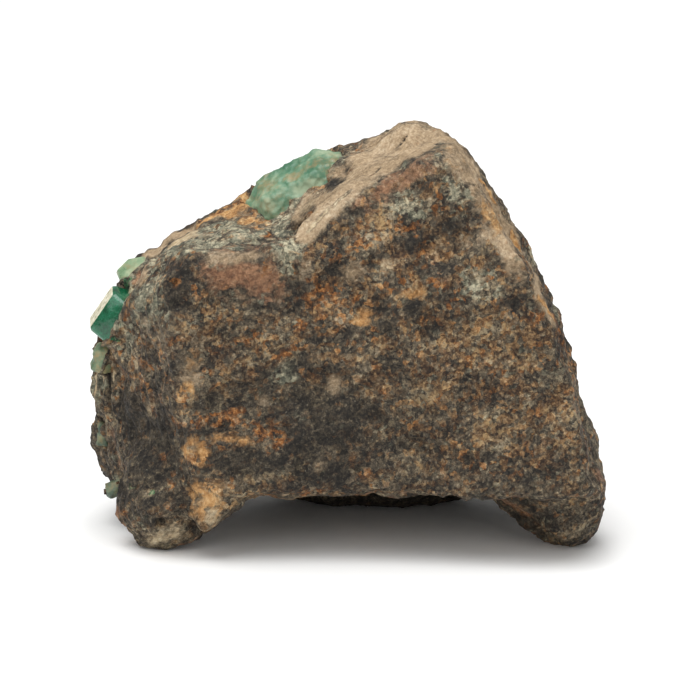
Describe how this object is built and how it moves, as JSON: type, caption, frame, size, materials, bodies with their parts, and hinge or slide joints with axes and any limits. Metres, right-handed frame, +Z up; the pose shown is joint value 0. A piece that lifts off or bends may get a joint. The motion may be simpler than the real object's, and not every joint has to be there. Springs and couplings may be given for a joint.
{
  "type": "emerald in matrix",
  "caption": "Hand-sized mineral specimen: a blocky, layered lump of mica schist with green six-sided emerald prisms set in its left edge and top.",
  "frame": {"origin": "on the resting surface, under the middle of the stone's bounding box", "axes": "+Z up from the resting surface, +X along the stone's length to the right as seen from its front, -Y out of its front face"},
  "size_m": [0.0466, 0.0292, 0.0379],
  "materials": {
    "schist": "rough broken mica schist, rust stained, with pale feldspar and mica glints",
    "emerald": "dark green natural crystal face, glossy, see-through in depth",
    "cloudy_emerald": "cloudy sea-green natural crystal, satin",
    "pale_beryl": "pale grey-green natural crystal, satin"
  },
  "bodies": {
    "root": {"matrix": "schist", "left_prism": "emerald", "left_lower_prism": "cloudy_emerald", "upper_left_prism": "cloudy_emerald", "top_emerald": "cloudy_emerald", "left_edge_prism": "pale_beryl", "lower_left_prism": "pale_beryl"}
  },
  "joints": []
}
